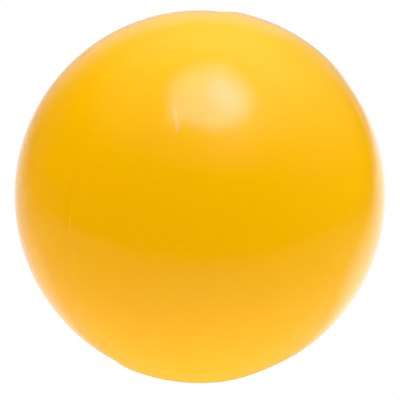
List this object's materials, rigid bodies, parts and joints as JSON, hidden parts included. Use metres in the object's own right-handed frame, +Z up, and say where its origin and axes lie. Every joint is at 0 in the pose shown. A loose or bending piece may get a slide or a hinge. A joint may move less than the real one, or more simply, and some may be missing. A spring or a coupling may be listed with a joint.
{
  "type": "dodgeball",
  "caption": "Smooth round inflatable rubber dodgeball: lapped cover cups over a yarn-wound bladder, with a self-sealing needle valve flush with the skin.",
  "frame": {"origin": "centre of the ball", "axes": "X through both poles, with the valve at the -X pole; the cover's seam lies in the plane X = 0; +Z up as the ball rests in the picture"},
  "size_m": [0.2159, 0.2184, 0.2184],
  "materials": {
    "cover": "satin",
    "winding": "matte",
    "bladder": "satin",
    "valve": "matte",
    "core": "satin"
  },
  "bodies": {
    "ball": {"cover_front": "cover", "cover_back": "cover", "winding": "winding", "bladder": "bladder", "valve_patch": "bladder", "valve_housing": "valve"},
    "core": {"valve_core": "core"}
  },
  "joints": [
    {"name": "core_pull", "type": "slide", "parent": "ball", "child": "core", "axis": [-1, 0, 0], "range_m": [0, 0.026]}
  ]
}
